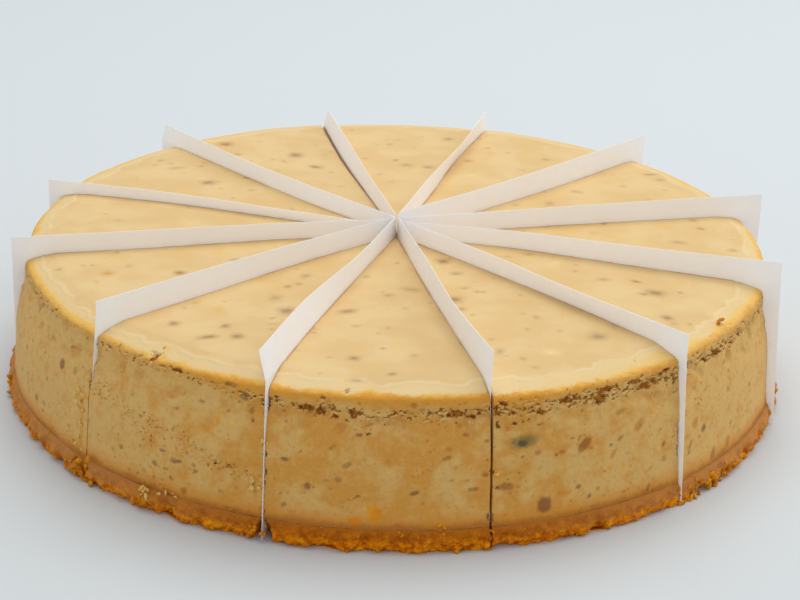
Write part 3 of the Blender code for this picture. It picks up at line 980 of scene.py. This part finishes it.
def above_floor(shape):
    """Lifts what has come out under the floor back onto it."""
    place = vector("MAXIMUM", spot(shape.tree), (-1.0, -1.0, 0.0))
    return add(shape.tree, "GeometryNodeSetPosition", "Geometry", {"Geometry": shape, "Position": place})


def chips(given, place, seam, outside):
    """Where the edge along a cut has broken away, from 0 to 1."""
    near = 1.0 - ease(seam, 0.1, 2.0)
    over = near * 0.16 + mottle(place, given["Chip size"], 4.0, 0.65)
    return ease(over, 0.72, 0.79) * ease(near, 0.0, 0.2) * outside


def filling_tree():
    """Grain, pores, pits, chips along the cuts, and the ridge that rings the skin."""
    tree, given = group("baked_filling", FILLING_SIZES)
    place = spot(tree)
    skin, seam, crumbly, pressed, porous = (named(tree, label) for label in FILLING_MARKS)
    outside = ease(skin, -0.5, -0.1)
    top = ease(skin, 0.4, 0.9)
    side = outside - top
    pit = pitting(place, crumbly, pressed, given["Pit size"], 0.09) * outside
    pore = pores(place, porous, given["Pore size"], 0.08) * side
    chip = chips(given, place, seam, side)
    grain = mottle(place, given["Grain size"], 3.0, 0.6) - 0.5
    dent = mottle(place, given["Dent size"]) - 0.5
    reach = vector("LENGTH", vector("MULTIPLY", place, (1.0, 1.0, 0.0)), output="Value") / MM
    wave = mottle(place, 9.0) * 8.0 - 4.0
    beyond = reach - (given["Ridge radius"] + wave)
    ridge = 1.0 - ease(maths("ABSOLUTE", beyond), 0.1, 1.3)
    ridge = ridge * top * ease(mottle(place, 12.0, 1.0), 0.36, 0.52)
    rise = (
        given["Grain depth"] * grain * side * (crumbly * 2.0 + 1.0) * 2.0
        + given["Dent depth"] * dent * outside
        + given["Ridge height"] * ridge
        - given["Pit depth"] * pit
        - given["Pore depth"] * pore
        - given["Chip depth"] * chip
    )
    shape = given["Geometry"]
    for label, value in (("chipped", chip), ("ridge", ridge), ("beyond", beyond)):
        shape = store(shape, label, value)
    return close(raise_by(shape, rise), given["Material"])


def crust_tree():
    """The crumbs that the base is pressed from, as ragged lumps of two sizes, and chips along the
    cuts."""
    tree, given = group("pressed_crumbs", CRUST_SIZES)
    place = spot(tree)
    outside = ease(named(tree, "skin"), -0.5, -0.1)
    lump = mottle(place, given["Crumb size"], 3.0, 0.6)
    grain = mottle(place, given["Grain size"], 3.0, 0.6)
    chip = chips(given, place, named(tree, "seam"), outside)
    low = ease(axis(place, 2), 2.0, 5.5, 1.0, 0.25)
    rise = (
        given["Crumb height"] * (lump - 0.5) * 4.0 * low * outside
        + given["Grain height"] * (grain - 0.5) * 4.0 * low * outside
        - given["Chip depth"] * chip
    )
    # Where shade is painted: in the hollows between the larger lumps low down, and in the chips
    hollow_shade = maths("MINIMUM", ease(lump, 0.46, 0.34) * low + chip, 1.0)
    shape = store(given["Geometry"], "hollow_shade", hollow_shade)
    shape = store(shape, "tone", ease(lump, 0.38, 0.62))
    return close(above_floor(raise_by(shape, rise)), given["Material"])


def crumb_tree(name, detail):
    """Sets a lumpy crumb on each point, turned at random, as wide as the point's mark says."""
    tree, given = group(name, CRUMB_SIZES)
    kinds = tree.nodes.new("GeometryNodeJoinGeometry")
    for kind in range(CRUMB_KINDS):
        ball = add(tree, "GeometryNodeMeshIcoSphere", "Mesh", {"Radius": 0.5, "Subdivisions": detail})
        moved = vector("ADD", spot(tree), (3.1 * kind, 1.7, 0.0))
        lump = mottle(moved, given["Lump size"] / MM)
        shape = raise_by(ball, (lump - 0.5) * given["Lump depth"] * (2 / MM))
        smooth = add(tree, "GeometryNodeSetShadeSmooth", "Geometry", {"Geometry": shape})
        plug(kinds, {0: add(tree, "GeometryNodeGeometryToInstance", 0, {0: smooth})})
    width = named(tree, "width") * MM
    form = {number: width * share for number, share in enumerate(CRUMB_FORM)}
    placed = add(tree, "GeometryNodeInstanceOnPoints", "Instances", {
        "Points": given["Geometry"], "Instance": Value(tree, kinds.outputs[0]), "Pick Instance": True,
        "Instance Index": drawn(given["Seed"], 2, 0, CRUMB_KINDS - 1),
        "Rotation": drawn(given["Seed"], 0, (0.0, 0.0, 0.0), (math.tau,) * 3),
        "Scale": add(tree, "ShaderNodeCombineXYZ", 0, form),
    })
    placed = store(placed, "tone", drawn(given["Seed"] + 1.0, 1, 0.0, 1.0), "INSTANCE")
    real = add(tree, "GeometryNodeRealizeInstances", "Geometry", {"Geometry": placed})
    return close(above_floor(real), given["Material"])


def settle(made, tree, look, sizes, seed=0):
    """Runs a tree on a piece, and keeps the result as the piece's plain mesh."""
    modifier = made.modifiers.new("shape", "NODES")
    modifier.node_group = tree
    values = {"Material": look, "Seed": seed, **sizes}
    for item in tree.interface.items_tree:
        if item.in_out == "INPUT" and item.name in values:
            modifier[item.identifier] = values[item.name]
    graph = bpy.context.evaluated_depsgraph_get()
    done = bpy.data.meshes.new_from_object(
        made.evaluated_get(graph), preserve_all_data_layers=True, depsgraph=graph)
    plain = made.data
    made.modifiers.clear()
    made.data = done
    bpy.data.meshes.remove(plain)


# Materials

# The baked filling: its skin, its side, what lies over them, and the cut faces
TOP_COLOUR = (0.74, 0.52, 0.235)
TOP_DEEP = (0.70, 0.465, 0.19)
RIM_COLOUR = (0.77, 0.565, 0.27)
# A pale highlight painted along the ridge on the top
RIDGE_HIGHLIGHT = (0.84, 0.66, 0.37)
GILT_COLOUR = (0.78, 0.50, 0.12)
SIDE_COLOUR = (0.70, 0.325, 0.052)
# An olive tone of the filling's side, laid on more to the left and right as painted sheen
SIDE_OLIVE_AND_SHEEN = (0.75, 0.45, 0.135)
SIDE_PALE = (0.82, 0.52, 0.17)
SIDE_DEEP = (0.54, 0.25, 0.035)
SIDE_BLUSH = (0.72, 0.29, 0.05)
SIDE_LOW = (0.70, 0.255, 0.014)
SIDE_LOWEST = (0.44, 0.145, 0.016)
CARAMEL = (0.72, 0.30, 0.018)
LIP_COLOUR = (0.82, 0.485, 0.095)
SPECK_COLOUR = (0.33, 0.15, 0.03)
# Grease stain along the cuts on the top, with the slits' shade painted in
GREASE_AND_SHADE_COLOUR = (0.56, 0.27, 0.05)
INNER_COLOUR = (0.60, 0.29, 0.06)
# Painted shade in the pits, pores and chips of the side, dark and middle; the middle one also colours fine
# specks
PIT_SHADE_DARK = (0.34, 0.085, 0.005)
PIT_SHADE_AND_SPECK_BROWN = (0.54, 0.205, 0.018)
# A highlight painted on the lit lip just under each pit
PIT_LIP_HIGHLIGHT = (0.94, 0.68, 0.26)
# The pressed crumb base: its lower part, its upper part, its edge, the paler tan of painted sheen
# at its left and right, and the painted shade in its hollows
CRUST_DARK = (0.56, 0.130, 0.001)
CRUST_COLOUR = (0.84, 0.235, 0.001)
CRUST_GOLD = (0.92, 0.40, 0.004)
CRUST_TOP_DARK = (0.40, 0.100, 0.003)
CRUST_TOP = (0.58, 0.165, 0.004)
CRUST_EDGE = (0.44, 0.150, 0.018)
CRUST_SHEEN_TAN = (0.62, 0.33, 0.11)
CRUST_HOLLOW_SHADE = (0.26, 0.055, 0.001)
# Loose crumbs of the base and of the filling, dark and bright, and the paper's two whites
GOLDEN_CRUMB = (0.52, 0.13, 0.002), (0.84, 0.40, 0.018)
CREAM_CRUMB = (0.74, 0.41, 0.08), (0.92, 0.64, 0.20)
PAPER_WHITES = (0.965, 0.915, 0.905), (0.985, 0.955, 0.955)


def aside(place):
    """0 in the middle of the front and back, and 1 at the cake's left and right."""
    return ease(maths("ABSOLUTE", axis(place, 0)), 20.0, 110.0)


def side_colour(place, height, porous):
    """The baked filling's soft mottling: paler, more olive and less golden under the rim to the left
    and right, which is painted sheen, darker just over the base, and golden under the rim."""
    blotch = mottle(place, 8.0, 3.0, 0.55)
    cloud = mottle(vector("ADD", place, (0.3, 0.1, 0.2)), 3.6, 3.0, 0.6)
    grainy = mottle(place, 1.3, 4.0, 0.65)
    # How much painted sheen the side gets: none at the front and back, full at the left and right
    painted_sheen_side = aside(place)
    raised = height + blotch * 2.0 + cloud * 2.0
    wavering = height - grainy * 2.4 - blotch * 3.0
    pore = pores(place, porous, FILLING_SIZES["Pore size"], 0.03)
    return layered(
        SIDE_COLOUR,
        # Olive mottling, with painted sheen that makes it paler and more olive to the left and right
        (ease(blotch + painted_sheen_side * 0.24, 0.40, 0.66), SIDE_OLIVE_AND_SHEEN),
        (ease(cloud, 0.52, 0.68, 0.0, 0.5), SIDE_BLUSH),
        (ease(cloud, 0.47, 0.32, 0.0, 0.25), SIDE_PALE),
        (ease(grainy, 0.52, 0.72, 0.0, 0.30), SIDE_PALE),
        (ease(grainy, 0.47, 0.28, 0.0, 0.45), SIDE_DEEP),
        # Golden under the rim, less so to the left and right, where sheen is painted
        (ease(raised, 43.2, 46.6, 0.0, 0.9) * ease(painted_sheen_side, 0.1, 0.8, 1.0, 0.45), CARAMEL),
        (ease(raised, 46.2, 47.3, 0.0, 0.9), LIP_COLOUR),
        (ease(wavering, 10.5, 4.5, 0.0, 0.8), SIDE_LOW),
        (ease(wavering, 6.6, 4.4, 0.0, 0.8), SIDE_LOWEST),
        (ease(mottle(place, 0.9, 3.0, 0.6), 0.68, 0.715, 0.0, 0.6), SPECK_COLOUR),
        (ease(mottle(squeezed(place, 0.7), 0.55), 0.68, 0.72, 0.0, 0.5), PIT_SHADE_AND_SPECK_BROWN),
        # Painted shade in the pores
        (pore * 0.85, PIT_SHADE_AND_SPECK_BROWN),
    )


def top_colour(place, seam, ridge, beyond):
    """The smooth skin, paler outside the ridge, with a highlight painted on the ridge, and stained
    along the cuts, where the slits' shade is painted too.
    """
    cloud = mottle(place, 15.0, 3.0, 0.55)
    grainy = mottle(place, 2.0, 3.0, 0.6)
    edge = ease(beyond + grainy * 2.0, 3.0, 5.8, 0.0, 0.9)
    grease_and_shade = ease(seam - grainy * 0.9, 0.25, -0.1)
    return layered(
        TOP_COLOUR,
        (ease(cloud, 0.35, 0.65), TOP_DEEP),
        (ease(grainy, 0.56, 0.75, 0.0, 0.25), TOP_DEEP),
        (ease(beyond, -0.8, 0.8, 0.0, 0.65), RIM_COLOUR),
        # Painted highlight along the ridge
        (ease(ridge, 0.2, 1.0, 0.0, 0.35), RIDGE_HIGHLIGHT),
        (edge * aside(place), GILT_COLOUR),
        (ease(mottle(place, 1.0, 3.0, 0.6), 0.70, 0.73, 0.0, 0.45), SPECK_COLOUR),
        # Grease stain along the cuts, with painted shade from the slits
        (grease_and_shade * ease(mottle(place, 14.0), 0.45, 0.65, 0.25, 0.8), GREASE_AND_SHADE_COLOUR),
    )


def filling_material():
    made, shader, place = surface("baked_filling")
    skin, seam, crumbly, pressed, porous, chipped, ridge, beyond = (
        attribute(place.tree, label) for label in (*FILLING_MARKS, "chipped", "ridge", "beyond")
    )
    wavy = mottle(place, 7.0) * 1.6
    ragged = mottle(place, 1.8, 4.0, 0.65) * 1.2
    colour = mix(ease(skin + wavy + ragged, 1.80, 2.12),
                 side_colour(place, axis(place, 2), porous), top_colour(place, seam, ridge, beyond))
    colour = mix(1.0, colour, attribute(place.tree, "tint", "Color"), "MULTIPLY")
    # The pits, and the pits' pattern moved down to the lip under each pit, where a highlight is painted
    pit, highlight_under_pit = (
        pitting(place, crumbly, pressed, FILLING_SIZES["Pit size"], 0.035, lift)
        for lift in (0.0, PIT_HIGHLIGHT_DROP)
    )
    depth = ease(mottle(place, 1.3), 0.35, 0.6)
    colour = layered(
        colour,
        # Painted highlight on the lip under each pit
        (highlight_under_pit * (1.0 - pit) * 0.65, PIT_LIP_HIGHLIGHT),
        # Painted shade in the pits
        (pit, mix(depth, PIT_SHADE_DARK, PIT_SHADE_AND_SPECK_BROWN)),
        # Painted shade in the chips along the cuts
        (chipped * 0.6, PIT_SHADE_AND_SPECK_BROWN),
        (ease(skin, -0.1, -0.6), INNER_COLOUR),
    )
    grain = mottle(place, 0.5, 3.0) * ease(skin, 0.4, 0.9, 1.0, 0.12)
    plug(shader, {
        "Base Color": colour, "Roughness": ease(skin, 0.4, 0.9, 0.62, 0.46),
        "Specular IOR Level": 0.25, "Normal": bump(grain - pit * 1.5, 0.2, 0.6),
    })
    return made


def crust_material():
    made, shader, place = surface("pressed_crumbs")
    tone, hollow_shade = (attribute(place.tree, label) for label in ("tone", "hollow_shade"))
    height = axis(place, 2)
    fine = mottle(place, 0.7, 4.0, 0.7)
    spread = mottle(place, 3.0, 4.0, 0.6)
    both = tone * 0.3 + fine + spread * 0.6 - 0.45
    low = layered(CRUST_DARK, (ease(both, 0.30, 0.55), CRUST_COLOUR),
                  (ease(both, 0.56, 0.74, 0.0, 0.85), CRUST_GOLD))
    high = mix(ease(spread + fine * 0.5, 0.6, 0.9), CRUST_TOP_DARK, CRUST_TOP)
    wavering = height + mottle(place, 4.0, 4.0, 0.65) * 5.0 - 2.5
    colour = layered(
        low,
        (ease(wavering, 2.6, 4.8), high),
        (ease(height + spread, 6.2, 7.3), CRUST_EDGE),
        # Painted sheen: a paler tan to the left and right of the base
        (aside(place) * ease(wavering, 1.0, 4.0) * 0.5, CRUST_SHEEN_TAN),
        # Painted shade in the hollows between crumbs and in the chips
        (hollow_shade * 0.3, CRUST_HOLLOW_SHADE),
    )
    plug(shader, {"Base Color": colour, "Roughness": 0.85, "Specular IOR Level": 0.1,
                  "Normal": bump(mottle(place, 0.45, 3.0), 0.25, 0.7)})
    return made


def crumb_material(name, dark, bright):
    made, shader, place = surface(name)
    share = attribute(place.tree, "tone") * 0.7 + mottle(place, 0.5) * 0.6 - 0.15
    plug(shader, {"Base Color": mix(share, dark, bright), "Roughness": 0.75,
                  "Specular IOR Level": 0.1, "Normal": bump(mottle(place, 0.25), 0.1, 0.6)})
    return made


def paper_material():
    made, shader, place = surface("baking_paper")
    fibres = mottle(squeezed(place, 0.3), 0.9, 3.0)
    plug(shader, {
        "Base Color": mix(ease(mottle(place, 5.0, 4.0, 0.6), 0.3, 0.7), *PAPER_WHITES),
        "Roughness": 0.55, "Specular IOR Level": 0.4, "Subsurface Weight": 0.8,
        "Subsurface Radius": (1.0, 1.0, 1.0), "Subsurface Scale": 0.5 * MM,
        "Normal": bump(fibres, 0.03, 0.5),
    })
    return made


# Crumbs

CRUMB_SEED = 40
COARSE_COUNT, FINE_COUNT, FOOT_COUNT = 34, 260, 8
COARSE_WIDTHS, FINE_WIDTHS, FOOT_WIDTHS = (0.7, 1.5), (0.3, 0.7), (0.6, 1.5)
# How high a crumb's middle is over the floor at least, as a share of its width
CRUMB_REST = 0.36
# The cut whose foot is open, with no crumbs in it
OPEN_FOOT = 8
# Loose crumbs on the side: azimuth in degrees, height, width and how many
GOLDEN_HEAPS = (
    (224.3, 2.0, 2.2, 14), (224.0, 5.0, 1.8, 8), (193.5, 2.0, 2.4, 8), (236.4, 2.4, 2.2, 6),
    (238.8, 5.0, 1.2, 2), (271.5, 5.4, 1.4, 4), (276.5, 7.2, 1.3, 5), (253.6, 4.0, 1.6, 6),
    (283.0, 4.0, 1.3, 6), (314.0, 1.6, 2.2, 16), (318.5, 1.8, 2.2, 16), (322.5, 2.0, 1.9, 8),
    (325.2, 46.0, 1.8, 2), (343.5, 44.0, 1.6, 3), (346.6, 12.0, 1.8, 3), (346.9, 22.0, 1.5, 2),
    (347.5, 3.0, 2.0, 8), (351.0, 43.5, 1.6, 4),
)
PALE_HEAPS = (
    (236.6, 6.4, 2.2, 5), (236.2, 4.6, 1.9, 4), (238.9, 6.6, 1.1, 2), (240.8, 6.8, 1.3, 3),
    (222.9, 27.5, 2.0, 4), (222.8, 24.0, 1.6, 3), (223.3, 21.0, 1.5, 3), (223.1, 17.0, 1.3, 3),
    (223.1, 13.0, 1.3, 3), (223.2, 9.5, 1.5, 3), (252.8, 14.6, 1.9, 3), (252.7, 18.0, 1.6, 2),
    (253.6, 29.5, 1.4, 3), (283.4, 33.0, 1.2, 2), (283.4, 22.5, 1.1, 2), (236.6, 46.2, 1.3, 2),
    (283.6, 41.4, 1.5, 3), (283.8, 44.2, 1.2, 2), (284.1, 39.4, 1.4, 3), (265.5, 38.2, 1.0, 2),
    (280.0, 37.6, 1.0, 2), (298.4, 37.9, 1.1, 2),
)


def heap(random, azimuth, height, width, count):
    """Crumbs strewn about a spot on the cake's side."""
    radius = BASE_RADIUS if height < BASE_HEIGHT else side_radius(height)
    spread = 0.35 * width * math.sqrt(count)
    for _ in range(count):
        size = width * random.uniform(0.45, 1.0)
        level = max(height + spread * random.normal() * 0.7, CRUMB_REST * size)
        turn = math.radians(azimuth) + spread * random.normal() / radius
        reach = radius + size * random.uniform(0.1, 0.4)
        yield (reach * math.cos(turn), reach * math.sin(turn), level), size


def side_radius(height):
    profile = np.array(FILLING_RIM)
    return float(np.interp(height, profile[:, 1], profile[:, 0]))


def base_crumbs(random, piece, count, smallest, largest):
    """Crumbs that stand out of the base's side, most of them low down."""
    points = np.array([vertex.co for vertex in piece.data.vertices]) / MM
    normals = np.array([vertex.normal for vertex in piece.data.vertices])
    outer = np.linalg.norm(points[:, :2], axis=1) > BASE_RADIUS - 3.5
    weight = outer * (np.exp(-points[:, 2] / 1.6) + 0.10) * (normals[:, 2] < 0.7)
    for index in random.choice(len(points), count, p=weight / weight.sum()):
        size = smallest + (largest - smallest) * random.random() ** 2
        place = points[index] + normals[index] * size * random.uniform(-0.25, 0.1)
        yield (place[0], place[1], max(place[2], CRUMB_REST * size)), size


def foot_crumbs(random, number, count):
    """Crumbs at the foot of a cut."""
    angle = cut_angle(number)
    across = polar(angle + math.pi / 2)
    for _ in range(count):
        size = random.uniform(*FOOT_WIDTHS)
        out = rim_distance(number, BASE_RADIUS, 0) + random.uniform(-1.2, 0.2)
        plan = cut_point(number, out) + across * random.normal() * 0.8
        yield (*plan, max(random.random() ** 1.8 * BASE_HEIGHT, CRUMB_REST * size)), size


def crumbs(name, strewn, tree, look, seed):
    """One piece of loose crumbs, from their places and widths."""
    places, widths = zip(*strewn)
    data = bpy.data.meshes.new(name)
    data.from_pydata((np.array(places) * MM).tolist(), [], [])
    made = put(name, data)
    mark(made, "width", widths)
    settle(made, tree, look, CRUMB_SIZES, seed)
    return made


# Stage

# Lamps: name, place and point that it faces in metres, width in metres and power in watts
LAMPS = (
    ("over", (0.1, 0.40, 1.25), (0.0, 0.0, 0.0), 1.1, 9.2),
    ("right", (1.2, 0.4, 0.8), (0.0, 0.0, 0.02), 0.9, 4.0),
)
SKY_COLOUR = (0.93, 0.97, 1.0, 1.0)
SKY_STRENGTH = 0.66
FLOOR_COLOUR = (0.63, 0.66, 0.67, 1.0)
# The floor's radius, in metres
FLOOR_RADIUS = 12.0


def camera():
    made = put("camera", bpy.data.cameras.new("camera"))
    turn = (Matrix.Rotation(-YAW, 4, "Z") @ Matrix.Rotation(math.pi / 2 - PITCH, 4, "X")
            @ Matrix.Rotation(ROLL, 4, "Z"))
    made.matrix_world = Matrix.Translation(EYE * MM) @ turn
    made.data.lens = LENS
    made.data.sensor_fit = "HORIZONTAL"
    made.data.clip_start = 0.01
    bpy.context.scene.camera = made


def lamp(name, place, target, size, power):
    """A square soft box that faces a point."""
    data = bpy.data.lights.new(name, "AREA")
    data.size = size
    data.energy = power
    made = put(name, data)
    made.location = place
    made.rotation_euler = (Vector(target) - Vector(place)).to_track_quat("-Z", "Y").to_euler()


def stage():
    mesh = bmesh.new()
    bmesh.ops.create_circle(mesh, cap_ends=True, segments=96, radius=FLOOR_RADIUS)
    data = bpy.data.meshes.new("floor")
    mesh.to_mesh(data)
    mesh.free()
    floor = put("floor", data)
    made, shader, _ = surface("pale_floor")
    plug(shader, {"Base Color": FLOOR_COLOUR, "Roughness": 0.5, "Specular IOR Level": 0.2})
    data.materials.append(made)
    world = bpy.data.worlds.new("sky")
    world.use_nodes = True
    plug(world.node_tree.nodes["Background"], {"Color": SKY_COLOUR, "Strength": SKY_STRENGTH})
    bpy.context.scene.world = world
    for row in LAMPS:
        lamp(*row)
    bpy.context.scene.view_settings.view_transform = "Standard"
    bpy.context.scene.view_settings.look = "None"


def keep(piece, node=None):
    """Gives a finished piece its body, and hides the node that it stands for."""
    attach(piece, "root")
    if node:
        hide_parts(node)


def build():
    camera()
    stage()
    filled, pressed = filling_tree(), crust_tree()
    filling_look, crust_look, paper_look = filling_material(), crust_material(), paper_material()
    random = np.random.default_rng(CRUMB_SEED)
    coarse, fine = [], []
    for number in range(SLICES):
        piece = filling(number)
        settle(piece, filled, filling_look, FILLING_SIZES)
        keep(piece, f"filling_{number + 1:02d}")
        piece = crust(number)
        settle(piece, pressed, crust_look, CRUST_SIZES)
        keep(piece, f"crust_{number + 1:02d}")
        coarse += base_crumbs(random, piece, COARSE_COUNT, *COARSE_WIDTHS)
        fine += base_crumbs(random, piece, FINE_COUNT, *FINE_WIDTHS)
        coarse += foot_crumbs(random, number, 0 if number == OPEN_FOOT else FOOT_COUNT)
        piece = paper(number)
        piece.data.materials.append(paper_look)
        keep(piece, f"paper_{number + 1:02d}")
    for row in GOLDEN_HEAPS:
        coarse += heap(random, *row)
    pale = [crumb for row in PALE_HEAPS for crumb in heap(random, *row)]
    golden = crumb_material("golden_crumbs", *GOLDEN_CRUMB)
    cream = crumb_material("filling_crumbs", *CREAM_CRUMB)
    lumps, grains = crumb_tree("lumpy_crumbs", 2), crumb_tree("crumb_grains", 1)
    keep(crumbs("base_crumbs", coarse, lumps, golden, 1))
    keep(crumbs("base_grains", fine, grains, golden, 2))
    keep(crumbs("filling_crumbs", pale, lumps, cream, 3))


build()
